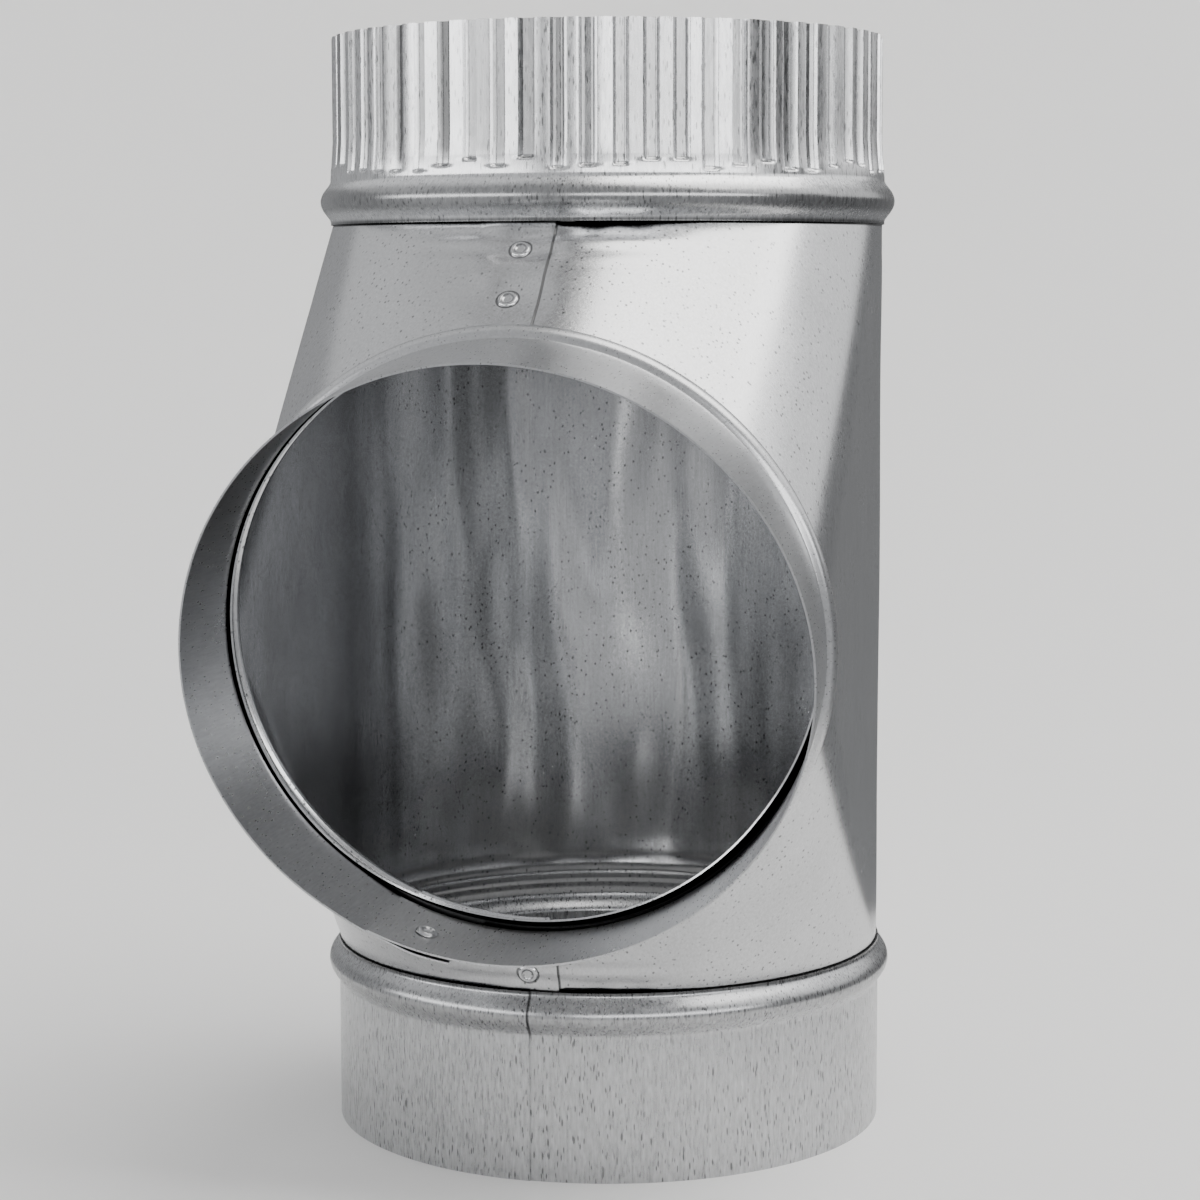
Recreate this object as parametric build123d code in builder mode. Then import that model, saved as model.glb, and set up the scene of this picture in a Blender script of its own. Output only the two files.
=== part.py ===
from build123d import *
from math import asin, cos, degrees, radians, sin, tan
import os

os.makedirs("parts", exist_ok=True)

# Driving dimensions, in millimetres and degrees

# Sheet, and the pipe that the plain collars take
sheet = 0.48
pipe_radius = 76.2
neck_fit = 0.1

# Run: the plain collar below and the folded body, with the bead that locks each collar to its neck
lower_length = 50.8
body_height = 199.4
bead_rise = 2.8
bead_width = 11.0
bead_margin = 0.8

# Crimped end above
crimp_count = 60
crimp_length = 37.0
crimp_depth = 1.6
crimp_width = 3.4
crimp_clearance = 0.4
shoulder_length = 1.2

# Branch: its seat on the body, leaning down a little, and its collar
branch_reach = 18.9
branch_drop = 3.7
branch_lean = 8.0
branch_length = 35.0
branch_bead_rise = 2.6
branch_bead_width = 6.0
branch_bead_margin = 0.6
lip_bead_rise = 1.1
lip_bead_width = 3.4
lip_clearance = 0.2
lip_gap = 1.3

# Lap seams: the doubled sheet and where its free edge lies
seam_width = 15.0
seam_edge = 4.0
lap_angle = 13.0
lap_bury = 0.12
lower_lap_turn = 3.0
branch_lap_turn = 9.0

# Clinches pressed through the body seam
clinch_diameter = 5.5
clinch_rise = 0.5
clinch_slope = 30.0
clinch_inset = 8.0
clinch_from_top = 9.5
clinch_pitch = 18.0
clinch_from_bottom = 5.5

# Sizes shared by the pieces that meet
collar_radius = pipe_radius + sheet
body_radius = pipe_radius - neck_fit
bore_radius = body_radius - sheet
bead_half = bead_width / 2
bead_crest = bead_margin + bead_half
neck_bead_half = bead_half - sheet - neck_fit
branch_bead_half = branch_bead_width / 2
branch_bead_crest = branch_bead_margin + branch_bead_half
lip_start = branch_bead_margin + sheet + neck_fit
lip_bead_half = lip_bead_width / 2
lip_crest = lip_start + lip_bead_half
lip_base = lip_start + lip_bead_width + neck_fit
lip_tip = branch_bead_margin + branch_bead_width - sheet - lip_clearance
lap_radius = collar_radius + sheet - lap_bury
lap_bead_grow = sheet - lap_bury
crest_radius = pipe_radius - crimp_clearance
shoulder_base = bead_margin + bead_width + bead_margin
crimp_base = shoulder_base + shoulder_length

# Heights and directions of the three mouths
bottom = lower_length
top = lower_length + body_height
across = Vector(1, 0, 0)
forward = Vector(0, -1, 0)
up = Vector(0, 0, 1)
down = Vector(0, 0, -1)
lean = radians(branch_lean)
outward = Vector(0, -cos(lean), -sin(lean))
rise = Vector(0, -sin(lean), cos(lean))
upper_seat = Vector(0, 0, top)
lower_seat = Vector(0, 0, bottom)
branch_seat = Vector(0, -body_radius - branch_reach, bottom + body_height / 2 - branch_drop)


def radial_plane(seat, direction, radial):
    # Local X is a radius of the mouth, local Y runs outward along its axis
    return Plane(origin=seat, x_dir=radial, z_dir=radial.cross(direction))


def beaded_wall(outer, crest, height, half_width, tip):
    # Closed outline of a straight sheet wall with one hollow bead, from its seat to its tip
    inner = outer - sheet
    slim = half_width - sheet
    Polyline((inner, crest - slim), (inner, 0), (outer, 0), (outer, crest - half_width))
    ThreePointArc((outer, crest - half_width), (outer + height, crest), (outer, crest + half_width))
    Polyline((outer, crest + half_width), (outer, tip), (inner, tip), (inner, crest + slim))
    ThreePointArc((inner, crest + slim), (inner + height, crest), (inner, crest - slim))


def rising_arc(foot, crest, height, half_width):
    # Half of a bead's arc, from its foot on the wall to its crest
    arc_radius = (half_width ** 2 + height ** 2) / (2 * height)
    turn = degrees(asin(half_width / arc_radius))
    CenterArc((foot + height - arc_radius, crest), arc_radius, -turn, turn)


def flared_neck(outer, crest, height, half_width):
    # Closed outline of a sheet neck whose edge is turned out into the hollow of a collar's bead
    inner = outer - sheet
    slim = half_width - sheet
    Polyline((inner, crest - slim), (inner, 0), (outer, 0), (outer, crest - half_width))
    rising_arc(outer, crest, height, half_width)
    Line((outer + height, crest), (inner + height, crest))
    rising_arc(inner, crest, height, slim)


def drawn_wall(outer, base, tip_outer, tip):
    # Closed outline of a sheet wall that is drawn in from one radius to another
    Polyline((outer - sheet, base), (outer, base), (tip_outer, tip), (tip_outer - sheet, tip), close=True)


def half_mouth(radius, depth):
    # Half of a mouth's disc, or of the oval half way between two mouths
    EllipticalCenterArc((0, 0), radius, depth, arc_size=180)
    Line((-radius, 0), (radius, 0))


def seam_section():
    # Section of the doubled sheet, square to the front: it grows out of the wall and ends in a free edge
    left = seam_edge - seam_width
    fall = left ** 2 / (2 * body_radius) + lap_bury
    root = (left, -fall)
    edge = (seam_edge, sheet)
    ThreePointArc(root, ((left + seam_edge) / 2, (sheet - lap_bury) / 2), edge)
    Polyline(edge, (seam_edge, -fall - sheet), (left, -fall - sheet), root)


def front_stations(run_seat, mouth_seat, way):
    # Planes from a run mouth to the branch mouth, each with its share of the full depth
    between = (forward + way) * 0.5
    stations = ((run_seat, forward), ((run_seat + mouth_seat) * 0.5, between), (mouth_seat, way))
    return [(Plane(origin=o, x_dir=across, z_dir=across.cross(w)), w.length) for o, w in stations]


def tee_form(radius, upper, lower, mouth):
    # Solid form of the folded sheet: round back, flat sides, two ruled fronts that meet at the branch mouth
    with BuildPart() as form:
        with BuildSketch(Plane(origin=lower, x_dir=across, z_dir=up)):
            with BuildLine():
                half_mouth(radius, radius)
            make_face()
        extrude(amount=upper.Z - lower.Z)
        with BuildSketch(Plane(origin=across * -radius, x_dir=(0, 1, 0), z_dir=across)):
            with BuildLine():
                Polyline((upper.Y, upper.Z), (lower.Y, lower.Z), (mouth.Y, mouth.Z), close=True)
            make_face()
        extrude(amount=2 * radius)
        for run_seat, way in ((upper, rise), (lower, -rise)):
            for plane, share in front_stations(run_seat, mouth, way):
                with BuildSketch(plane):
                    with BuildLine():
                        half_mouth(radius, radius * share)
                    make_face()
            loft(ruled=True)
    return form.part


# Fold angles along the middle of the two fronts, which mitre the inner skin at the mouths
upper_fold = upper_seat + forward * body_radius
lower_fold = lower_seat + forward * body_radius
upper_front = branch_seat + rise * body_radius - upper_fold
lower_front = branch_seat - rise * body_radius - lower_fold
upper_reach = upper_front.length
lower_reach = lower_front.length
upper_run = upper_front.normalized()
lower_run = lower_front.normalized()
mouth_turn = (upper_run.get_angle(outward) + lower_run.get_angle(outward)) / 2
inner_upper = upper_seat + down * (sheet * tan(radians(upper_run.get_angle(down) / 2)))
inner_lower = lower_seat + up * (sheet * tan(radians(lower_run.get_angle(up) / 2)))
inner_mouth = branch_seat - outward * (sheet * tan(radians(mouth_turn / 2)))

# Clinch places along the seam, on the upper and the lower front
clinch_line = across * (seam_edge - clinch_inset)
clinch_root = 2 * sheet
upper_normal = upper_run.cross(across)
lower_normal = across.cross(lower_run)
clinch_places = (
    (upper_fold + clinch_line + upper_run * clinch_from_top, upper_normal),
    (upper_fold + clinch_line + upper_run * (clinch_from_top + clinch_pitch), upper_normal),
    (lower_fold + clinch_line + lower_run * clinch_from_bottom, lower_normal),
)

# Doubled sheet of the seam on each front, trimmed at the run mouth and at the branch mouth
seams = []
for fold, run, normal, reach in (
    (upper_fold, upper_run, upper_normal, upper_reach),
    (lower_fold, lower_run, lower_normal, lower_reach),
):
    with BuildPart() as seam_strip:
        with BuildSketch(Plane(origin=fold + run * (reach / 2), x_dir=across, z_dir=across.cross(normal))):
            with BuildLine():
                seam_section()
            make_face()
        extrude(amount=reach, both=True)
        split(bisect_by=Plane(origin=fold, z_dir=up * run.dot(up)), keep=Keep.TOP)
        split(bisect_by=Plane(origin=branch_seat, z_dir=outward), keep=Keep.BOTTOM)
    seams.append(seam_strip.part)

upper_plane = radial_plane(upper_seat, up, across)
lower_plane = radial_plane(lower_seat, down, across)
branch_plane = radial_plane(branch_seat, outward, across)

# Body: one folded sheet, closed by a lap seam down its front, with necks and a lip that the collars lock on
with BuildPart() as body:
    add(tee_form(body_radius, upper_seat, lower_seat, branch_seat))
    for seam in seams:
        add(seam)
    for place, normal in clinch_places:
        with BuildSketch(Plane(origin=place - normal * clinch_root, x_dir=across, z_dir=normal)):
            Circle(clinch_diameter / 2)
        extrude(amount=clinch_root + sheet + clinch_rise, taper=clinch_slope)
    add(tee_form(bore_radius, inner_upper, inner_lower, inner_mouth), mode=Mode.SUBTRACT)
    for plane in (upper_plane, lower_plane, branch_plane):
        with BuildSketch(Plane(origin=plane.origin, x_dir=across, z_dir=plane.y_dir)):
            Circle(bore_radius)
        extrude(amount=sheet, both=True, mode=Mode.SUBTRACT)
    for plane in (upper_plane, lower_plane):
        with BuildSketch(plane):
            with BuildLine():
                flared_neck(body_radius, bead_crest, bead_rise, neck_bead_half)
            make_face()
        revolve(axis=Axis(plane.origin, plane.y_dir))
    with BuildSketch(branch_plane):
        with BuildLine():
            beaded_wall(body_radius, lip_crest, lip_bead_rise, lip_bead_half, lip_base)
        make_face()
        with BuildLine():
            drawn_wall(body_radius, lip_base, pipe_radius - lip_gap, lip_tip)
        make_face()
    revolve(axis=Axis(branch_plane.origin, branch_plane.y_dir))
body.part.label = "body"

# Lower collar: a plain rolled ring that takes the next pipe inside it
lower_edge = Vector(-sin(radians(lower_lap_turn)), -cos(radians(lower_lap_turn)), 0)
with BuildPart() as lower_collar:
    with BuildSketch(lower_plane):
        with BuildLine():
            beaded_wall(collar_radius, bead_crest, bead_rise, bead_half, lower_length)
        make_face()
    revolve(axis=Axis(lower_seat, down))
    with BuildSketch(radial_plane(lower_seat, down, lower_edge)):
        with BuildLine():
            beaded_wall(lap_radius, bead_crest, bead_rise, bead_half + lap_bead_grow, lower_length)
        make_face()
    revolve(axis=Axis(lower_seat, down), revolution_arc=lap_angle)
lower_collar.part.label = "lower_collar"

# Crimped collar: a rolled ring whose upper end is drawn in by crimps, to enter the next pipe
groove_radius = ((crimp_width / 2) ** 2 + crimp_depth ** 2) / (2 * crimp_depth)
groove_centre = crest_radius + groove_radius - crimp_depth
crimp_plane = Plane(origin=upper_seat + up * crimp_base, x_dir=across, z_dir=up)
with BuildPart() as crimped_collar:
    with BuildSketch(upper_plane):
        with BuildLine():
            beaded_wall(collar_radius, bead_crest, bead_rise, bead_half, shoulder_base)
        make_face()
        with BuildLine():
            drawn_wall(collar_radius, shoulder_base, crest_radius, crimp_base)
        make_face()
    revolve(axis=Axis(upper_seat, up))
    with BuildSketch(crimp_plane):
        Circle(crest_radius)
        Circle(crest_radius - sheet, mode=Mode.SUBTRACT)
        with PolarLocations(groove_centre, crimp_count):
            Circle(groove_radius + sheet)
        Circle(crest_radius, mode=Mode.INTERSECT)
        with PolarLocations(groove_centre, crimp_count):
            Circle(groove_radius, mode=Mode.SUBTRACT)
    extrude(amount=crimp_length)
    with BuildSketch(crimp_plane):
        with PolarLocations(groove_centre, crimp_count):
            Circle(groove_radius + sheet)
        Circle(crest_radius - sheet / 2, mode=Mode.INTERSECT)
    extrude(amount=-sheet)
crimped_collar.part.label = "crimped_collar"

# Branch collar: a short rolled ring around the body's front mouth
branch_edge_turn = radians(branch_lap_turn + lap_angle)
branch_edge = across * -sin(branch_edge_turn) - rise * cos(branch_edge_turn)
with BuildPart() as branch_collar:
    with BuildSketch(branch_plane):
        with BuildLine():
            beaded_wall(
                collar_radius, branch_bead_crest, branch_bead_rise, branch_bead_half, branch_length
            )
        make_face()
    revolve(axis=Axis(branch_seat, outward))
    with BuildSketch(radial_plane(branch_seat, outward, branch_edge)):
        with BuildLine():
            beaded_wall(
                lap_radius,
                branch_bead_crest,
                branch_bead_rise,
                branch_bead_half + lap_bead_grow,
                branch_length,
            )
        make_face()
    revolve(axis=Axis(branch_seat, outward), revolution_arc=lap_angle)
branch_collar.part.label = "branch_collar"

export_step(body.part, "parts/body.step")
export_step(lower_collar.part, "parts/lower_collar.step")
export_step(crimped_collar.part, "parts/crimped_collar.step")
export_step(branch_collar.part, "parts/branch_collar.step")
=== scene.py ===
import bpy
from math import cos, pi, radians, sin
from mathutils import Matrix, Vector


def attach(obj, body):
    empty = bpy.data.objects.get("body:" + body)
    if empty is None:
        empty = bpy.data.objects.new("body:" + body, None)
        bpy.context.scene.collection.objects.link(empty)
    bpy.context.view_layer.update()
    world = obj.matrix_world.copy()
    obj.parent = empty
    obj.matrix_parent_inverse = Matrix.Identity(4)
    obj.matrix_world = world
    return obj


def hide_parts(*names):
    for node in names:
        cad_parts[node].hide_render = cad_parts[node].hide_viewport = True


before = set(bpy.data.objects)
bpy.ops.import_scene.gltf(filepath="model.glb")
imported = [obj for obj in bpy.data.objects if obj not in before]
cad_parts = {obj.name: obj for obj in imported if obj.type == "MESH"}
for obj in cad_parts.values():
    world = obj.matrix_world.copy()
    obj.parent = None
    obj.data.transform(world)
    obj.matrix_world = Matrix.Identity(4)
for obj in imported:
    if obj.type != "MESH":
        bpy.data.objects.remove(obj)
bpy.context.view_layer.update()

# Body
# One sheet of galvanised steel, folded to a round back, flat sides and two sloped fronts that meet at the
# branch mouth. A lap seam closes it down the front, its necks are turned out into the beads of the run
# collars, and its lip stands inside the branch collar.
mm = 0.001
sheet = 0.48 * mm
sewing_reach = 0.02 * mm
bead_pinch = 1.8
body_radius = 76.1 * mm
lower_fold = 50.8 * mm
upper_fold = 250.2 * mm
mouth_reach = 95.0 * mm
mouth_height = 146.8 * mm
mouth_lean = radians(8.0)
mouth_seat = Vector((0, -mouth_reach, mouth_height))
mouth_out = Vector((0, -cos(mouth_lean), -sin(mouth_lean)))
mouth_rise = Vector((0, -sin(mouth_lean), cos(mouth_lean)))
neck_length = 6.3 * mm
neck_foot = 1.38 * mm
neck_flare = 2.8 * mm
lip_length = 5.92 * mm
lip_bump_middle = 2.88 * mm
lip_bump_half = 1.7 * mm
lip_bump_rise = 1.1 * mm
lip_bend = 4.68 * mm
seam_root = -21.0 * mm
seam_edge = 4.0 * mm
seam_corner = 1.1 * mm
seam_slack = 0.05 * mm
turns = 96
rows = 56
neck_rows = 14
lip_rows = 26
near_fold = 0.14
row_crowd = 0.88 / (2 * pi)
rise_y = mouth_rise.y
rise_z = mouth_rise.z


class Field:
    # One socket of a node tree, so that shapes and patterns are written as plain sums
    def __init__(self, tree, socket):
        self.tree = tree
        self.socket = socket

    @staticmethod
    def node(tree, kind, settings, values, out=0):
        made = tree.nodes.new(kind)
        for name, value in settings.items():
            setattr(made, name, value)
        for key, value in values.items():
            for link in value if isinstance(value, list) else [value]:
                if isinstance(link, Field):
                    tree.links.new(link.socket, made.inputs[key])
                else:
                    made.inputs[key].default_value = link
        return Field(tree, made.outputs[out])

    def out(self, key):
        return Field(self.tree, self.socket.node.outputs[key])

    def math(self, operation, *others):
        values = dict(enumerate((self,) + others))
        return Field.node(self.tree, "ShaderNodeMath", {"operation": operation}, values)

    def __add__(self, other):
        return self.math("ADD", other)

    __radd__ = __add__

    def __sub__(self, other):
        return self.math("SUBTRACT", other)

    def __rsub__(self, other):
        return self.math("MULTIPLY_ADD", -1.0, other)

    def __mul__(self, other):
        return self.math("MULTIPLY", other)

    __rmul__ = __mul__

    def __truediv__(self, other):
        return self.math("DIVIDE", other)

    def __neg__(self):
        return self.math("MULTIPLY", -1.0)

    def ramp(self, low, high):
        # Rises smoothly from 0 at low to 1 at high
        values = {"Value": self, "From Min": low, "From Max": high}
        return Field.node(self.tree, "ShaderNodeMapRange", {"interpolation_type": "SMOOTHSTEP"}, values)


def bead_arc(along, half_width, height, pinch=1.0):
    # Height of a rolled bead over its wall: an arc with softened feet, or one pinched to a narrower crest
    bend = (half_width ** 2 + height ** 2) / (2 * height)
    arc = (bend ** 2 - along * along).math("MAXIMUM", 0.0).math("SQRT") - (bend - height)
    if pinch == 1.0:
        return arc.math("SMOOTH_MAX", 0.0, height * 0.25)
    return (arc.math("MAXIMUM", 0.0) / height).math("POWER", pinch) * height


def sheet_tree(name, sizes):
    # An empty tree for one sheet-metal piece, with a named input for each of its sizes
    tree = bpy.data.node_groups.new(name, "GeometryNodeTree")
    tree.interface.new_socket("Points", in_out="INPUT", socket_type="NodeSocketGeometry")
    tree.interface.new_socket("Sheet", in_out="OUTPUT", socket_type="NodeSocketGeometry")
    for size in sizes:
        tree.interface.new_socket(size, in_out="INPUT", socket_type="NodeSocketFloat")
    entry = tree.nodes.new("NodeGroupInput")
    return tree, {size: Field(tree, entry.outputs[size]) for size in ["Points", *sizes]}


def patch(tree, across, along):
    # A flat net of points, with its two shares from 0 to 1
    net = Field.node(tree, "GeometryNodeMeshGrid", {}, {0: 1.0, 1: 1.0, 2: across + 1, 3: along + 1})
    spot = Field.node(tree, "GeometryNodeInputPosition", {}, {})
    spot = Field.node(tree, "ShaderNodeSeparateXYZ", {}, {0: spot})
    return net, spot + 0.5, spot.out(1) + 0.5


def bent(net, x, y, z):
    # The net bent to the surface that the three sums give
    place = Field.node(net.tree, "ShaderNodeCombineXYZ", {}, {0: x, 1: y, 2: z})
    return Field.node(net.tree, "GeometryNodeSetPosition", {}, {"Geometry": net, "Position": place})


def joined(*nets):
    # Nets sewn together where their edges meet
    tree = nets[0].tree
    sheets = Field.node(tree, "GeometryNodeJoinGeometry", {}, {"Geometry": list(nets)})
    return Field.node(tree, "GeometryNodeMergeByDistance", {}, {"Geometry": sheets, "Distance": sewing_reach})


def finished_sheet(sheets, finish):
    # Closes a tree: real mesh, smooth faces and the piece's finish
    tree = sheets.tree
    real = Field.node(tree, "GeometryNodeRealizeInstances", {}, {"Geometry": sheets})
    smooth = Field.node(tree, "GeometryNodeSetShadeSmooth", {}, {"Geometry": real})
    painted = Field.node(tree, "GeometryNodeSetMaterial", {}, {"Geometry": smooth, "Material": finish})
    tree.links.new(painted.socket, tree.nodes.new("NodeGroupOutput").inputs["Sheet"])


def formed_piece(name, tree, sizes, finish, wall=0.0, points=(), directions=(), crease=35.0):
    # Runs a tree into a plain mesh, gives the sheet its thickness and keeps its cut edges crisp
    mesh = bpy.data.meshes.new(name)
    mesh.from_pydata(points, [], [])
    if directions:
        facing = mesh.attributes.new("facing", "FLOAT_VECTOR", "POINT")
        facing.data.foreach_set("vector", [part for way in directions for part in way])
    piece = bpy.data.objects.new(name, mesh)
    bpy.context.scene.collection.objects.link(piece)
    former = piece.modifiers.new("former", "NODES")
    former.node_group = tree
    for item in tree.interface.items_tree:
        if item.name in sizes:
            former[item.identifier] = sizes[item.name]
    if wall:
        thickness = piece.modifiers.new("wall", "SOLIDIFY")
        thickness.thickness = wall
        thickness.offset = -1.0
        thickness.use_even_offset = True
    seen = piece.evaluated_get(bpy.context.evaluated_depsgraph_get())
    piece.data = bpy.data.meshes.new_from_object(seen)
    piece.modifiers.clear()
    piece.data.name = name
    piece.data.set_sharp_from_angle(angle=radians(crease))
    if not piece.data.materials:
        piece.data.materials.append(finish)
    return piece


def galvanised(name, tone, grain, fleck_gap, fleck_size, fleck_tone, dash, gloss, shade=None):
    # Zinc-coated sheet: cool grey, a little cloudy, ruled with fine rolling lines and flecked with dark pits
    finish = bpy.data.materials.new(name)
    finish.use_nodes = True
    tree = finish.node_tree
    tree.nodes.clear()
    place = Field.node(tree, "ShaderNodeTexCoord", {}, {}, "Object")
    drawn = Field.node(tree, "ShaderNodeMapping", {}, {"Vector": place, "Scale": grain})
    along = tuple(1.0 if part == 1.0 else 0.05 for part in grain)
    ruled = Field.node(tree, "ShaderNodeMapping", {}, {"Vector": place, "Scale": along})
    clouds = Field.node(tree, "ShaderNodeTexNoise", {}, {"Vector": place, "Scale": 45.0, "Detail": 3.0})
    lines = Field.node(tree, "ShaderNodeTexNoise", {}, {"Vector": ruled, "Scale": 1900.0, "Detail": 2.0})
    dashes = Field.node(tree, "ShaderNodeTexNoise", {}, {"Vector": drawn, "Scale": 1400.0, "Detail": 2.0})
    spacing = {"Vector": drawn, "Scale": 1.0 / fleck_gap}
    spots = Field.node(tree, "ShaderNodeTexVoronoi", {}, spacing, "Distance")
    crowd = clouds.ramp(0.32, 0.58) * 0.6 + 0.4
    ragged = spots + (dashes - 0.5) * (fleck_size * 1.3)
    pits = (1 - ragged.ramp(fleck_size * 0.45, fleck_size)) * crowd
    light = 0.83 + clouds * 0.20 + (lines - 0.5) * 0.32 + (dashes - 0.5) * dash
    light = light * (1 - pits * fleck_tone)
    if shade:
        turned = Field.node(tree, "ShaderNodeNewGeometry", {}, {}, "Normal")
        light = light * shade(
            Field.node(tree, "ShaderNodeSeparateXYZ", {}, {0: place}),
            Field.node(tree, "ShaderNodeSeparateXYZ", {}, {0: turned}),
        )
    grey = Field.node(tree, "ShaderNodeCombineColor", {}, {0: light, 1: light, 2: light})
    tinted = {"data_type": "RGBA", "blend_type": "MULTIPLY"}
    colour = Field.node(tree, "ShaderNodeMix", tinted, {0: 1.0, 6: (*tone, 1.0), 7: grey}, 2)
    rough = gloss + (clouds - 0.5) * 0.10 + (dashes - 0.5) * (dash * 0.4) - pits * 0.04
    relief = lines * 0.8 + dashes * dash
    bump = Field.node(tree, "ShaderNodeBump", {}, {"Strength": 0.4, "Distance": 0.03 * mm, "Height": relief})
    values = {"Base Color": colour, "Metallic": 1.0, "Roughness": rough, "Normal": bump}
    coat = Field.node(tree, "ShaderNodeBsdfPrincipled", {}, values)
    tree.links.new(coat.socket, tree.nodes.new("ShaderNodeOutputMaterial").inputs["Surface"])
    return finish


def branch_frame(at, normal):
    # Distance out along the branch, and how far the surface looks away from the branch's axis
    along = (at.out(1) + mouth_reach) * mouth_out.y + (at.out(2) - mouth_height) * mouth_out.z
    up = (at.out(1) + mouth_reach) * mouth_rise.y + (at.out(2) - mouth_height) * mouth_rise.z
    away = normal * at + (normal.out(1) * mouth_rise.y + normal.out(2) * mouth_rise.z) * up
    return along, away


# Where the seam's clinches sit, each at the bottom of the shallow dish that its tool has pulled
dish_depth = 1.5 * mm
dish_shares = [1.0, 1.0, 0.25]
clinch_side = -4 * mm
clinch_stand = 0.35 * mm
# Painted shade round each clinch: a dark ring at the button's edge and one round its dimple, each with its
# darkness
clinch_shade_rings = ((2.9 * mm, 0.70), (1.6 * mm, 0.50))
ring_half = 0.38 * mm
clinch_places = []
clinch_ways = []
for height, side, steps in ((upper_fold, 1, (9.5 * mm, 27.5 * mm)), (lower_fold, -1, (5.5 * mm,))):
    start = Vector((0, -body_radius, height))
    run = (mouth_seat + mouth_rise * (side * body_radius) - start).normalized()
    proud = run.cross(Vector((side, 0, 0)))
    for step in steps:
        sunk = clinch_stand - dish_depth * dish_shares[len(clinch_places)]
        clinch_places.append(start + run * step + Vector((clinch_side, 0, 0)) + proud * sunk)
        clinch_ways.append(proud)


def body_shadow(at, normal):
    # Painted shade: dark where the sheet runs into the beads, widest beside the seam, in the slot behind its
    # lip, at the lip's root, along the seam's edge and in rings round the clinches
    beside = at.ramp(3 * mm, 6 * mm) * (1 - at.ramp(14 * mm, 42 * mm)) * (-at.out(1)).ramp(40 * mm, 60 * mm)
    reach = 0.45 * mm + beside * (0.9 * mm)
    gap = (upper_fold - at.out(2)).math("MINIMUM", at.out(2) - lower_fold)
    outside = (normal * at + normal.out(1) * at.out(1)).ramp(0.0, 12 * mm)
    joint = (1 - ((gap - reach) / (0.35 * mm)).ramp(0.0, 1.0)) * outside
    along, away = branch_frame(at, normal)
    slot = along.ramp(0.4 * mm, 1.6 * mm) * away.ramp(0.0, 12 * mm)
    foot = 1 - (along.math("ABSOLUTE") / (0.5 * mm)).ramp(0.4, 1.0)
    seam = (1 - ((at - seam_edge - 0.15 * mm).math("ABSOLUTE") / (0.4 * mm)).ramp(0.5, 1.0)) * outside
    seam = seam * (-at.out(1)).ramp(60 * mm, 70 * mm) * (1 - along.ramp(-1.0 * mm, 0.0))
    light = (1 - joint * 0.93) * (1 - slot * 0.95) * (1 - foot * 0.55) * (1 - seam * 0.72)
    for place in clinch_places:
        east, north, rise = at - place.x, at.out(1) - place.y, at.out(2) - place.z
        apart = (east * east + north * north + rise * rise).math("SQRT")
        for ring, depth in clinch_shade_rings:
            off_ring = (apart - ring).math("ABSOLUTE") / ring_half
            light = light * (1 - (1 - off_ring.ramp(0.3, 1.0)) * depth)
    return light


body_finish = galvanised(
    "body_zinc", (0.62, 0.625, 0.635), (1.0, 1.0, 0.75), 1.65 * mm, 0.235, 0.64, 0.28, 0.23, body_shadow)

body_sizes = {
    "Run radius": body_radius,
    "Lower fold": lower_fold,
    "Upper fold": upper_fold,
    "Mouth reach": mouth_reach,
    "Mouth height": mouth_height,
    "Lip draw": 0.25 * mm,
    "Loose draw": 1.8 * mm,
    "Waviness": 0.10 * mm,
    "Rolled waves": 1.50 * mm,
    "Rolled dents": 2.00 * mm,
    "Ripple": 0.16 * mm,
    "Wrinkle": 1.1 * mm,
    "Dish depth": dish_depth,
}
body_tree, size = sheet_tree("folded body", body_sizes)

# The two ruled fronts, from the run folds to the branch mouth, with their rows closest at the folds
fronts = []
for fold, side in (("Upper fold", 1), ("Lower fold", -1)):
    net, turn, share = patch(body_tree, turns, rows)
    share = share * (near_fold + share * (1 - near_fold))
    angle = turn * pi if side > 0 else (1 - turn) * pi
    reach = size["Run radius"] * angle.math("SINE")
    fronts.append(bent(
        net,
        size["Run radius"] * angle.math("COSINE"),
        share * (reach * (side * rise_y) - size["Mouth reach"]) - (1 - share) * reach,
        (1 - share) * size[fold] + share * (size["Mouth height"] + reach * (side * rise_z)),
    ))

# The flat sides, which narrow from the run to the branch mouth
flats = []
for side in (1, -1):
    net, share, fall = patch(body_tree, rows, rows)
    share = share * (near_fold + share * (1 - near_fold))
    fall = fall - (fall * (2 * pi)).math("SINE") * row_crowd
    drop = fall if side > 0 else 1 - fall
    edge = size["Upper fold"] + drop * (size["Lower fold"] - size["Upper fold"])
    flats.append(bent(
        net,
        size["Run radius"] * side,
        share * size["Mouth reach"] * -1.0,
        (1 - share) * edge + share * size["Mouth height"],
    ))

# The round back
net, turn, share = patch(body_tree, turns, rows)
share = share - (share * (2 * pi)).math("SINE") * row_crowd
angle = turn * pi
back = bent(
    net,
    size["Run radius"] * angle.math("COSINE"),
    size["Run radius"] * angle.math("SINE"),
    size["Lower fold"] + share * (size["Upper fold"] - size["Lower fold"]),
)

# The necks, turned out into the run collars' beads
necks = []
for fold, side in (("Upper fold", 1), ("Lower fold", -1)):
    net, turn, share = patch(body_tree, 2 * turns, neck_rows)
    angle = turn * (2 * pi * side)
    along = share * neck_length
    radius = size["Run radius"] + bead_arc(
        along - neck_length, neck_length - neck_foot, neck_flare, bead_pinch)
    necks.append(bent(
        net, radius * angle.math("COSINE"), radius * angle.math("SINE"), size[fold] + along * side))

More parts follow.
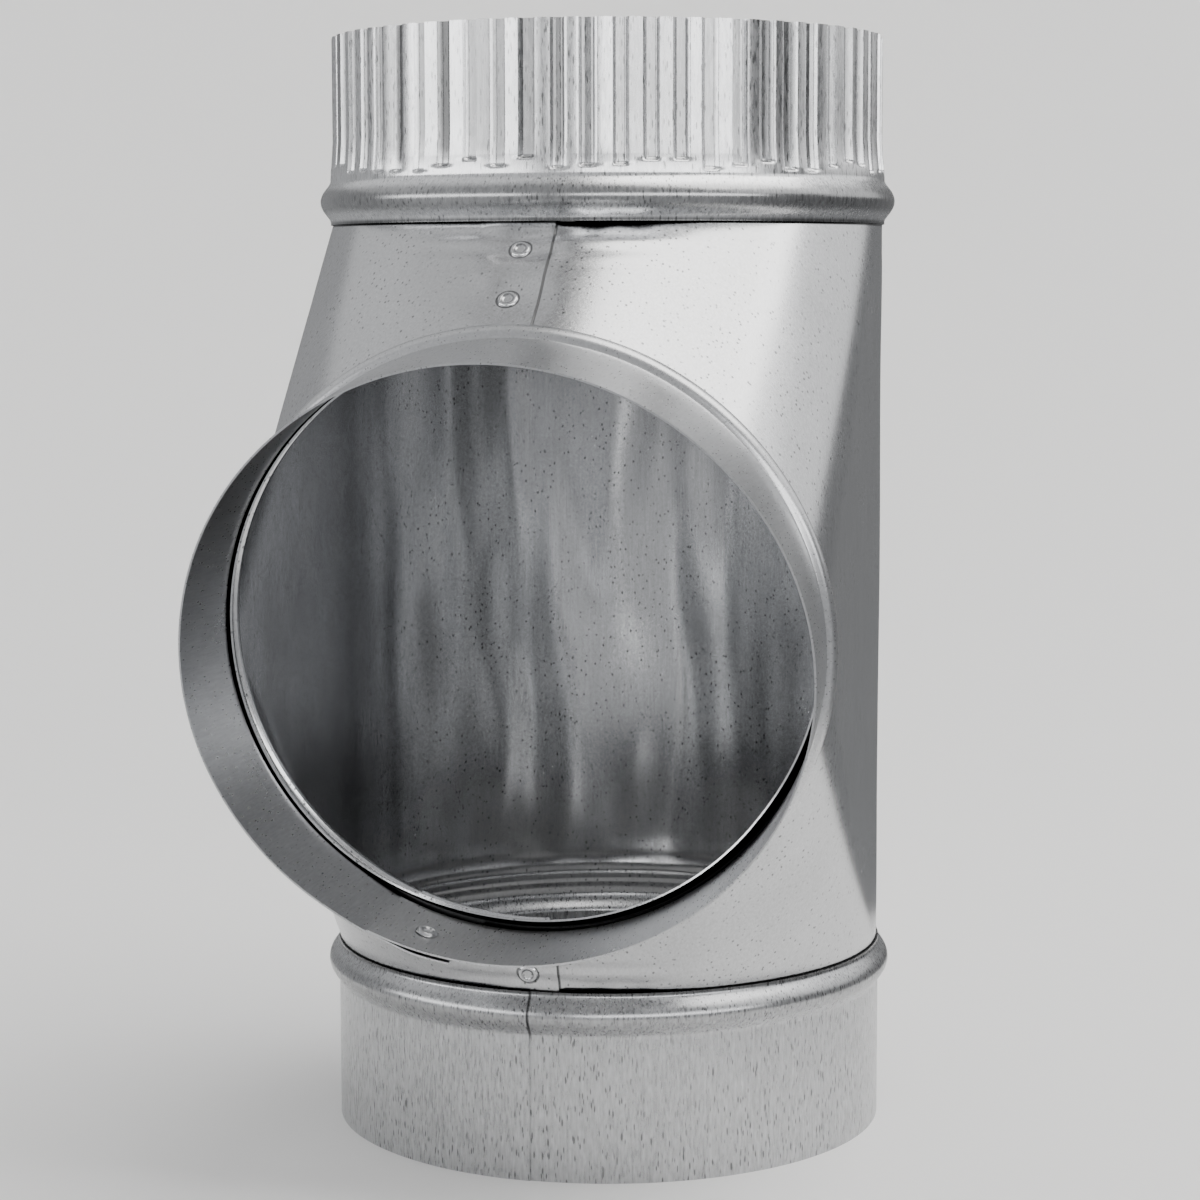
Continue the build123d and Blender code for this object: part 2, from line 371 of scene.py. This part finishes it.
# The lip, swelled once and drawn in, clear of the branch collar; it has sprung inward along the lower right
def lip_net(first_turn, last_turn, steps, inset):
    net, turn, share = patch(body_tree, steps, lip_rows)
    turn = turn * (last_turn - first_turn) + first_turn
    angle = turn * (2 * pi)
    along = share * lip_length
    loose = turn.ramp(0.62, 0.74) * (1 - turn.ramp(0.89, 0.998))
    swell = bead_arc(along - lip_bump_middle, lip_bump_half, lip_bump_rise)
    draw = ((along - lip_bend) / (lip_length - lip_bend)).math("MAXIMUM", 0.0) * size["Lip draw"]
    sprung = share.math("POWER", 1.3) * loose * size["Loose draw"]
    radius = size["Run radius"] + (swell - draw) * share.ramp(0.0, 0.12) - sprung - inset
    up = radius * angle.math("SINE")
    return bent(
        net,
        radius * angle.math("COSINE"),
        up * rise_y + along * mouth_out.y - size["Mouth reach"],
        up * rise_z + along * mouth_out.z + size["Mouth height"],
    )


lip = lip_net(0.0, 1.0, 2 * turns, 0.0)
lip_lap = lip_net(0.685, 0.758, 24, sheet + seam_slack)
skin = joined(*fronts, *flats, back, *necks, lip)

# The lap: the left-hand sheet passes over the right-hand one and ends in a free edge
laps = []
for fold, height, side, corner in (
        ("Upper fold", upper_fold, 1, 0.0),
        ("Lower fold", lower_fold, -1, seam_corner)):
    middle_run = Vector((0, -body_radius, height))
    middle_mouth = mouth_seat + mouth_rise * (side * body_radius)
    run = (middle_mouth - middle_run).normalized()
    proud = run.cross(Vector((side, 0, 0)))
    start = -corner / (middle_mouth - middle_run).length
    net, turn, share = patch(body_tree, 40, 48)
    over = (turn if side < 0 else 1 - turn) * (seam_edge - seam_root) + seam_root
    reach = (size["Run radius"] * size["Run radius"] - over * over).math("SQRT")
    share = share * (1 - start) + start
    lift = over.ramp(seam_root + 3 * mm, seam_root + 13 * mm) * (sheet + 0.07 * mm) - 0.06 * mm
    laps.append(bent(
        net,
        over,
        share * (reach * (side * rise_y) - size["Mouth reach"]) - (1 - share) * reach + lift * proud.y,
        (1 - share) * size[fold] + share * (size["Mouth height"] + reach * (side * rise_z)) + lift * proud.z,
    ))
skin = Field.node(body_tree, "GeometryNodeJoinGeometry", {}, {"Geometry": [skin, *laps]})

# Hand-rolled sheet is never true: soft waves at the back, ripples by the folds at the back and near the seam,
# a puckered edge beside the seam's ends and a shallow dish round each clinch
ripple_pitch = 4.4 * mm
pucker_pitch = 11 * mm
spot = Field.node(body_tree, "GeometryNodeInputPosition", {}, {})
at = Field.node(body_tree, "ShaderNodeSeparateXYZ", {}, {0: spot})
x, y, z = at, at.out(1), at.out(2)
inside_mouth = (y + mouth_reach) * -mouth_out.y + (z - mouth_height) * -mouth_out.z
above_low = z - size["Lower fold"]
below_high = size["Upper fold"] - z
from_fold = below_high.math("MINIMUM", above_low)
calm = from_fold.ramp(0.0, 14 * mm) * inside_mouth.ramp(0.0, 9 * mm)
stretch = {"operation": "MULTIPLY"}
long_waves = Field.node(body_tree, "ShaderNodeVectorMath", stretch, {0: spot, 1: (62.0, 62.0, 7.0)})
soft_dents = Field.node(body_tree, "ShaderNodeVectorMath", stretch, {0: spot, 1: (26.0, 26.0, 16.0)})
rolled = Field.node(body_tree, "ShaderNodeTexNoise", {}, {"Vector": long_waves, "Scale": 1.0, "Detail": 1.0})
dented = Field.node(body_tree, "ShaderNodeTexNoise", {}, {"Vector": soft_dents, "Scale": 1.0, "Detail": 1.0})
flames = Field.node(body_tree, "ShaderNodeVectorMath", stretch, {0: spot, 1: (52.0, 52.0, 20.0)})
flamed = Field.node(body_tree, "ShaderNodeTexNoise", {}, {"Vector": flames, "Scale": 1.0, "Detail": 0.0})
at_back = y.ramp(4 * mm, 40 * mm)
waves = ((rolled - 0.5) * size["Rolled waves"] + (flamed - 0.5) * size["Rolled dents"]) * at_back * 2.0
waves = (waves + (dented - 0.5) * size["Waviness"] * 4.0) * calm
ripple_turn = (from_fold * (2 * pi / ripple_pitch)).math("SINE")
rippled = at_back.math("MAXIMUM", (1 - x.math("ABSOLUTE").ramp(18 * mm, 42 * mm)) * 0.8)
rippled = rippled * from_fold.ramp(0.0, 1.5 * mm) * (1 - from_fold.ramp(5 * mm, 14 * mm))
waves = waves + ripple_turn * rippled * size["Ripple"]
front_only = (-y).ramp(60 * mm, 72 * mm)
beside_seam = x.ramp(3 * mm, 7 * mm) * (1 - x.ramp(16 * mm, 44 * mm))
under_bead = (1 - below_high.ramp(0.8 * mm, 5.5 * mm)) * (1 - (-below_high).ramp(0.2 * mm, 2.5 * mm))
over_bead = (1 - above_low.ramp(0.8 * mm, 4.0 * mm)) * (1 - (-above_low).ramp(0.2 * mm, 2.5 * mm))
gathers = 0.75 + (x * (2 * pi / pucker_pitch)).math("SINE") * 0.25
pucker = beside_seam * front_only * (under_bead + over_bead * 0.55) * gathers * size["Wrinkle"]
for place, share in zip(clinch_places, dish_shares):
    between = {"operation": "DISTANCE"}
    apart = Field.node(body_tree, "ShaderNodeVectorMath", between, {0: spot, 1: place}, "Value")
    pucker = pucker + (1 - apart.ramp(2 * mm, 14 * mm)) * share * size["Dish depth"]
push = Field.node(body_tree, "ShaderNodeVectorMath", {"operation": "SCALE"}, {
    0: Field.node(body_tree, "GeometryNodeInputNormal", {}, {}), "Scale": waves - pucker})
skin = Field.node(body_tree, "GeometryNodeSetPosition", {}, {"Geometry": skin, "Offset": push})

whole = Field.node(body_tree, "GeometryNodeJoinGeometry", {}, {"Geometry": [skin, lip_lap]})
finished_sheet(whole, body_finish)
body = formed_piece("body_sheet", body_tree, body_sizes, body_finish, wall=sheet)
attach(body, "root")
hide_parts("body")

# Clinches
# Round buttons pressed through both layers of the lap seam, two above the branch and one below it, which
# hold the seam shut without rivets. Each is a raised ring with a dimple in its middle.
clinch_radius = 2.9 * mm
clinch_rise = 0.65 * mm


def pressed_clinches(name, places, ways, finish):
    # One button at each place, looking the way that its sheet looks
    sizes = {"Button radius": clinch_radius, "Button rise": clinch_rise}
    tree, size = sheet_tree("pressed clinches " + name, sizes)
    net, turn, share = patch(tree, 32, 16)
    angle = turn * (2 * pi)
    crown = (1 - share.ramp(0.76, 1.0)) * 1.15 - 0.15 - (1 - share.ramp(0.34, 0.62)) * 0.70
    button = joined(bent(
        net,
        share * size["Button radius"] * angle.math("COSINE"),
        share * size["Button radius"] * angle.math("SINE"),
        crown * size["Button rise"],
    ))
    vectors = {"data_type": "FLOAT_VECTOR"}
    facing = Field.node(tree, "GeometryNodeInputNamedAttribute", vectors, {"Name": "facing"})
    turned = Field.node(tree, "FunctionNodeAlignRotationToVector", {"axis": "Z"}, {"Vector": facing})
    spots = Field.node(tree, "GeometryNodeMeshToPoints", {}, {"Mesh": size["Points"]})
    pressed = Field.node(tree, "GeometryNodeInstanceOnPoints", {}, {
        "Points": spots, "Instance": button, "Rotation": turned})
    finished_sheet(pressed, finish)
    return formed_piece(name, tree, sizes, finish, points=places, directions=ways)


clinches = pressed_clinches("seam_clinches", clinch_places, clinch_ways, body_finish)
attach(clinches, "root")

# Lower collar
# A plain ring of the same sheet, rolled and lapped at the front. Its bead, rolled right under its upper
# edge, holds the turned-out edge of the body's neck; the next pipe's crimped end goes up inside it.
collar_radius = 76.68 * mm
bead_rise = 2.8 * mm
bead_half = 5.5 * mm
lower_bead = 44.5 * mm
lower_bead_foot = 38.4 * mm
lower_lap_edge = radians(-93.0)
collar_steps = 480
joint_reach = 1.3 * mm


def joint_shade_and_scuff(height, scuff):
    # Darkens the metal with painted shade where a bead meets the body, and where the beading rollers have
    # scuffed its crest
    def shade(at, normal):
        radius = (at * at + at.out(1) * at.out(1)).math("SQRT")
        scuffed = radius.ramp(77.6 * mm, 79.0 * mm)
        bead_joint_shade = 1 - (at.out(2) - height).math("ABSOLUTE").ramp(0.2 * mm, joint_reach)
        return (1 - bead_joint_shade * 0.75) * (1 - scuffed * scuff)
    return shade


def lower_shade_and_scuff(at, normal):
    # Painted shadow: the lap's edge casts a dark line where it crosses the bead; the bead's painted joint
    # shade and crest scuff come on top
    across = at * -sin(lower_lap_edge) + at.out(1) * cos(lower_lap_edge)
    off_edge = (across - 0.2 * mm).math("ABSOLUTE") / (0.5 * mm)
    lap_line = (1 - off_edge.ramp(0.3, 1.0)) * (-at.out(1)).ramp(0.0, 60 * mm)
    beaded = at.out(2).ramp(37 * mm, 40 * mm) * 0.6 + 0.1
    return (1 - lap_line * beaded) * joint_shade_and_scuff(lower_fold - 0.1 * mm, 0.22)(at, normal)


lower_finish = galvanised(
    "lower_zinc", (0.54, 0.545, 0.555), (1.0, 1.0, 0.22), 0.85 * mm, 0.31, 0.62, 0.85, 0.30, lower_shade_and_scuff)
lower_sizes = {
    "Wall radius": collar_radius,
    "Bead rise": bead_rise,
    "Waviness": 0.10 * mm,
    "Lap step": 0.40 * mm,
}
lower_tree, size = sheet_tree("plain collar", lower_sizes)
rings = []
for low, high, rows in ((0.0, lower_bead_foot, 18), (lower_bead_foot, lower_fold, 30)):
    net, turn, share = patch(lower_tree, collar_steps, rows)
    angle = turn * (2 * pi) + lower_lap_edge
    height = share * (high - low) + low
    swell = bead_arc(height - lower_bead, bead_half, bead_rise, bead_pinch) * (size["Bead rise"] / bead_rise)
    lap = (1 - (1 - turn).ramp(0.03, 0.10)) * size["Lap step"]
    around = Field.node(lower_tree, "ShaderNodeCombineXYZ", {}, {
        0: angle.math("COSINE") * 4.5, 1: angle.math("SINE") * 4.5, 2: height * 9.0})
    uneven = Field.node(lower_tree, "ShaderNodeTexNoise", {}, {"Vector": around, "Scale": 1.0, "Detail": 1.0})
    radius = size["Wall radius"] + swell + lap + (uneven - 0.5) * size["Waviness"] * 2.0
    rings.append(bent(net, radius * angle.math("COSINE"), radius * angle.math("SINE"), height))
sheets = Field.node(lower_tree, "GeometryNodeJoinGeometry", {}, {"Geometry": rings})
finished_sheet(joined(sheets), lower_finish)
lower_collar = formed_piece("lower_collar_sheet", lower_tree, lower_sizes, lower_finish, wall=sheet)
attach(lower_collar, "root")
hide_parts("lower_collar")

# Crimped collar
# The ring on top: the same sheet, rolled and beaded like the lower one, with its upper end gathered into
# sixty pressed grooves so that it slips inside the next pipe.
upper_bead = 256.5 * mm
crimp_start = 264.0 * mm
rim_height = 301.0 * mm
crest_radius = 75.9 * mm
crimp_count = 60
crimp_steps = 18
crimps_from = crimp_start - 1.6 * mm
crimps_full = crimp_start + 3.2 * mm
by_number = {"noise_dimensions": "1D"}


def crimp_shade_and_scuff(at, normal):
    # Painted shade in the grooves and where the bead meets the body, facets painted darker at random in place
    # of their uneven reflections, most on the left, and the bead's crest darkened where the rollers scuffed
    # it
    radius = (at * at + at.out(1) * at.out(1)).math("SQRT")
    grooves = (1 - radius.ramp(74.3 * mm, 75.5 * mm)) * at.out(2).ramp(263.5 * mm, 267.0 * mm)
    facet = (at.out(1).math("ARCTAN2", at) * (crimp_count / pi) + 0.5).math("FLOOR")
    patchy = Field.node(at.tree, "ShaderNodeTexWhiteNoise", by_number, {"W": facet + 0.25})
    facet_shade = (1 - patchy.ramp(0.05, 0.95)) * at.out(2).ramp(264.0 * mm, 270.0 * mm)
    darker_left = (-at).ramp(-20 * mm, 55 * mm)
    grooves = grooves * (0.46 + darker_left * 0.28)
    facet_shade = facet_shade * (0.36 + darker_left * 0.38)
    return (1 - grooves) * (1 - facet_shade) * joint_shade_and_scuff(upper_fold + 0.1 * mm, 0.52)(at, normal)


crimped_finish = galvanised(
    "crimped_zinc", (0.80, 0.805, 0.815), (1.0, 1.0, 0.20), 0.85 * mm, 0.31, 0.58, 0.72, 0.27, crimp_shade_and_scuff)
crimped_sizes = {
    "Wall radius": collar_radius,
    "Crest radius": crest_radius,
    "Crimp count": float(crimp_count),
    "Crimp depth": 1.6 * mm,
    "Crimp share": 0.21,
    "Crimp wall": 0.05,
    "Crimp lean": 2.6 * mm,
    "Waviness": 0.10 * mm,
}
crimped_tree, size = sheet_tree("crimped collar", crimped_sizes)
rings = []
for low, high, rows in (
        (upper_fold, crimps_from, 18),
        (crimps_from, crimps_full, 16),
        (crimps_full, rim_height, 6)):
    net, turn, share = patch(crimped_tree, crimp_steps * crimp_count, rows)
    angle = turn * (2 * pi)
    height = share * (high - low) + low
    swell = bead_arc(height - upper_bead, bead_half, bead_rise, bead_pinch)
    number = (turn * size["Crimp count"]).math("FLOOR").math("MODULO", size["Crimp count"])
    luck = Field.node(crimped_tree, "ShaderNodeTexWhiteNoise", by_number, {"W": number + 4.0}, "Color")
    luck = Field.node(crimped_tree, "ShaderNodeSeparateXYZ", {}, {0: luck})
    off_middle = (turn * size["Crimp count"]).math("FRACT") - 0.5 + (luck - 0.5) * 0.10
    off_crest = (turn * size["Crimp count"] + 0.5).math("FRACT") - 0.5
    crest_number = (turn * size["Crimp count"] + 0.5).math("FLOOR").math("MODULO", size["Crimp count"])
    crest_luck = Field.node(crimped_tree, "ShaderNodeTexWhiteNoise", by_number, {"W": crest_number + 91.0})
    width = size["Crimp share"] * (0.85 + luck.out(1) * 0.3)
    dip = 1 - ((off_middle.math("ABSOLUTE") - width) / size["Crimp wall"]).ramp(-1.0, 1.0)
    lean = dip * off_middle * (luck - 0.5) + (1 - dip) * off_crest * (crest_luck - 0.5)
    begin = crimp_start + (luck.out(2) - 0.4) * (3.0 * mm)
    pressed_in = (height - begin).ramp(0.0, 0.9 * mm)
    drawn_in = height.ramp(261.8 * mm, 272.0 * mm) * (size["Wall radius"] - size["Crest radius"])
    pillow = (off_crest * off_crest * (1.2 * mm) * (1 - dip) - lean * size["Crimp lean"]) * pressed_in
    around = Field.node(crimped_tree, "ShaderNodeCombineXYZ", {}, {
        0: angle.math("COSINE") * 4.5, 1: angle.math("SINE") * 4.5, 2: height * 9.0})
    noise = {"Vector": around, "Scale": 1.0, "Detail": 1.0}
    uneven = Field.node(crimped_tree, "ShaderNodeTexNoise", {}, noise)
    radius = size["Wall radius"] + swell - drawn_in + (uneven - 0.5) * size["Waviness"] * 2.0
    radius = radius - dip * pressed_in * size["Crimp depth"] * (0.85 + luck * 0.3) - pillow
    rings.append(bent(net, radius * angle.math("COSINE"), radius * angle.math("SINE"), height))
sheets = Field.node(crimped_tree, "GeometryNodeJoinGeometry", {}, {"Geometry": rings})
finished_sheet(joined(sheets), crimped_finish)
crimped_collar = formed_piece(
    "crimped_collar_sheet", crimped_tree, crimped_sizes, crimped_finish, wall=sheet, crease=55.0)
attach(crimped_collar, "root")
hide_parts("crimped_collar")

# Branch collar
# A short ring of the same sheet, rolled and lapped underneath, with a narrow bead at its base that grips
# the body's lip. Handling has pulled its open rim a little oval and sprung the lap open; one clinch holds it.
branch_length = 35.0 * mm
branch_bead = 3.6 * mm
branch_bead_half = 3.0 * mm
branch_bead_rise = 2.6 * mm
branch_bead_end = 7.4 * mm
branch_lap_edge = radians(-100.0)
branch_lap_width = radians(16.0)
branch_lap_start = 8 * mm


def slot_shadow(at, normal):
    # Painted shade: no light comes out of the slot between the collar and the body's lip, least of all at the
    # lower right, and the collar's foot is darkened where it meets the body
    along, away = branch_frame(at, normal)
    low = (1 - at.out(2).ramp(95 * mm, 150 * mm)) * at.ramp(-60 * mm, -10 * mm)
    depth = 6.2 * mm + low * (1.2 * mm)
    inside = (-away).ramp(0.0, 12 * mm) * (1 - ((along - depth) / (1.0 * mm)).ramp(0.0, 1.0))
    foot = 1 - (along / (0.9 * mm)).ramp(0.3, 1.0)
    return (1 - inside * 0.95) * (1 - foot * 0.6)


branch_finish = galvanised(
    "branch_zinc", (0.62, 0.625, 0.635), (1.0, 0.30, 1.0), 0.95 * mm, 0.25, 0.35, 0.20, 0.30, slot_shadow)
branch_sizes = {
    "Wall radius": collar_radius,
    "Rim spread": 2.2 * mm,
    "Rim squeeze": 1.6 * mm,
    "Waviness": 0.12 * mm,
    "Lap step": 0.52 * mm,
    "Lap gap": 0.75 * mm,
}
branch_tree, size = sheet_tree("branch collar", branch_sizes)


def branch_wall(net, angle, along, extra):
    # The collar's wall, a little oval towards its rim
    around = Field.node(branch_tree, "ShaderNodeCombineXYZ", {}, {
        0: angle.math("COSINE") * 3.5, 1: angle.math("SINE") * 3.5, 2: along * 9.0})
    noise = {"Vector": around, "Scale": 1.0, "Detail": 1.0}
    uneven = Field.node(branch_tree, "ShaderNodeTexNoise", {}, noise)
    swell = bead_arc(along - branch_bead, branch_bead_half, branch_bead_rise)
    radius = size["Wall radius"] + swell + extra + (uneven - 0.5) * size["Waviness"] * 2.0
    opened = along / branch_length
    wide = (radius + opened * size["Rim spread"]) * angle.math("COSINE")
    tall = (radius - opened * size["Rim squeeze"]) * angle.math("SINE")
    return bent(
        net,
        wide,
        tall * rise_y + along * mouth_out.y - mouth_reach,
        tall * rise_z + along * mouth_out.z + mouth_height,
    )


rings = []
for low, high, rows in ((0.0, branch_bead_end, 26), (branch_bead_end, branch_length, 14)):
    net, turn, share = patch(branch_tree, collar_steps, rows)
    angle = turn * (2 * pi) + branch_lap_edge
    along = share * (high - low) + low
    sprung = turn.ramp(0.962, 0.985) * along.ramp(branch_lap_start, 30 * mm) * size["Lap gap"]
    rings.append(branch_wall(net, angle, along, turn.ramp(0.93, 0.965) * size["Lap step"] + sprung))
net, turn, share = patch(branch_tree, 24, 14)
angle = turn * branch_lap_width + branch_lap_edge - branch_lap_width
along = share * (branch_length - branch_lap_start) + branch_lap_start
under_lap = branch_wall(net, angle, along, 0.0)
sheets = Field.node(branch_tree, "GeometryNodeJoinGeometry", {}, {"Geometry": [joined(*rings), under_lap]})
finished_sheet(sheets, branch_finish)
branch_collar = formed_piece("branch_collar_sheet", branch_tree, branch_sizes, branch_finish, wall=sheet)
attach(branch_collar, "root")
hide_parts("branch_collar")

# The clinch on the inside of the lap
lap_clinch_angle = radians(-107.5)
lap_clinch_along = 23.0 * mm
lap_clinch_radius = 74.95 * mm
lap_clinch_way = Vector((-cos(lap_clinch_angle), 0, 0)) - mouth_rise * sin(lap_clinch_angle)
lap_clinch_place = mouth_seat + mouth_out * lap_clinch_along - lap_clinch_way * lap_clinch_radius
lap_clinch = pressed_clinches("collar_clinch", [lap_clinch_place], [lap_clinch_way], branch_finish)
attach(lap_clinch, "root")

# Studio
# A small round pale table top, with a pale floor ring and a curved backdrop round it that the metal doesn't
# mirror, under soft panels. The metal mirrors the table, the panels and the dim room beyond them.
table_radius = 0.28
floor_radius = 0.60
sweep_radius = 1.15
sweep_steps = 12
backdrop_height = 2.6
paper_tone = 0.88
around_table = 96


def turned_stage(name, outline, tone):
    # A plain pale surface of revolution round the fitting, given by radius and height
    mesh = bpy.data.meshes.new(name)
    ring = [(cos(2 * pi * k / around_table), sin(2 * pi * k / around_table)) for k in range(around_table)]
    points = [(radius * c, radius * s, height) for radius, height in outline for c, s in ring]
    faces = []
    for row in range(len(outline) - 1):
        for k in range(around_table):
            start, after = row * around_table + k, row * around_table + (k + 1) % around_table
            faces.append((start, after, after + around_table, start + around_table))
    mesh.from_pydata(points, [], faces)
    for face in mesh.polygons:
        face.use_smooth = True
    paper = bpy.data.materials.new(name)
    paper.use_nodes = True
    coat = paper.node_tree.nodes["Principled BSDF"]
    coat.inputs["Base Color"].default_value = (tone, tone, tone, 1.0)
    coat.inputs["Roughness"].default_value = 0.9
    coat.inputs["Specular IOR Level"].default_value = 0.1
    mesh.materials.append(paper)
    stage = bpy.data.objects.new(name, mesh)
    bpy.context.scene.collection.objects.link(stage)
    return stage


turned_stage("studio_table", [(0.001, 0.0), (0.5 * table_radius, 0.0), (table_radius, 0.0)], paper_tone)
sweep = [(table_radius, 0.0), (0.5 * (table_radius + floor_radius), 0.0), (floor_radius, 0.0)]
for k in range(1, sweep_steps + 1):
    bend = 0.5 * pi * k / sweep_steps
    sweep.append((floor_radius + sweep_radius * sin(bend), sweep_radius * (1 - cos(bend))))
sweep.append((floor_radius + sweep_radius, backdrop_height))
backdrop = turned_stage("studio_backdrop", sweep, paper_tone)
backdrop.visible_glossy = False

world = bpy.data.worlds.new("studio_air")
world.use_nodes = True
air = world.node_tree
towards = Field.node(air, "ShaderNodeTexCoord", {}, {}, "Generated")
towards = Field.node(air, "ShaderNodeSeparateXYZ", {}, {0: towards})
room = 0.24 + (-towards.out(1)).ramp(-0.3, 0.7) * 0.34 + (-towards).ramp(0.15, 0.8) * 0.22
air.links.new(room.socket, air.nodes["Background"].inputs["Strength"])
air.nodes["Background"].inputs["Color"].default_value = (0.97, 0.98, 1.0, 1.0)
bpy.context.scene.world = world


def soft_light(name, place, target, width, height, glow, tint=(1.0, 1.0, 1.0)):
    # One large soft panel, aimed at a point; its glow is its brightness seen face on
    lamp = bpy.data.lights.new(name, "AREA")
    lamp.shape = "RECTANGLE"
    lamp.size = width
    lamp.size_y = height
    lamp.energy = glow * pi * width * height
    lamp.color = tint
    panel = bpy.data.objects.new(name, lamp)
    panel.location = place
    panel.rotation_euler = (Vector(target) - Vector(place)).to_track_quat("-Z", "Y").to_euler()
    panel.visible_camera = False
    bpy.context.scene.collection.objects.link(panel)
    return panel


soft_light("top_panel", (0.74, -0.05, 1.75), (0.0, -0.02, 0.1), 1.5, 1.5, 4.2, (1.0, 0.985, 0.96))
# A dim panel beside the top one, which lights nothing but shows in the metal at the front's right edge
right_panel = soft_light("right_panel", (1.66, -0.05, 1.12), (0.0, 0.0, 0.2), 1.5, 0.8, 1.25)
right_panel.visible_diffuse = False
soft_light("left_panel", (-0.92, 0.28, 1.48), (0.0, 0.0, 0.2), 1.7, 1.7, 0.38)
soft_light("front_right_panel", (0.92, -1.31, 0.46), (0.0, 0.0, 0.30), 2.4, 0.36, 5.2)
soft_light("front_left_panel", (-1.20, -1.05, 0.46), (0.0, 0.0, 0.30), 2.0, 0.36, 4.4)
soft_light("back_right_panel", (1.15, 0.90, 0.98), (0.0, 0.0, 0.20), 1.25, 1.30, 1.10)

# The photograph's viewpoint, a little to the right of the branch and above its middle
camera_turn = radians(12.811)
camera_tip = radians(6.399)
camera_roll = radians(-0.112)
camera_place = Vector((0.1785, -0.7954, 0.23666))
frame_pixels = 1200.0
focal_pixels = 2903.5
ahead = Vector((-sin(camera_turn) * cos(camera_tip), cos(camera_turn) * cos(camera_tip), -sin(camera_tip)))
level = Vector((cos(camera_turn), sin(camera_turn), 0.0))
upright = level.cross(ahead)
sideways = level * cos(camera_roll) + upright * sin(camera_roll)
above = upright * cos(camera_roll) - level * sin(camera_roll)
lens = bpy.data.cameras.new("camera")
lens.sensor_width = 36.0
lens.lens = lens.sensor_width * focal_pixels / frame_pixels
lens.clip_start = 0.01
camera = bpy.data.objects.new("camera", lens)
camera.matrix_world = Matrix((
    (sideways.x, above.x, -ahead.x, camera_place.x),
    (sideways.y, above.y, -ahead.y, camera_place.y),
    (sideways.z, above.z, -ahead.z, camera_place.z),
    (0.0, 0.0, 0.0, 1.0),
))
bpy.context.scene.collection.objects.link(camera)
bpy.context.scene.camera = camera
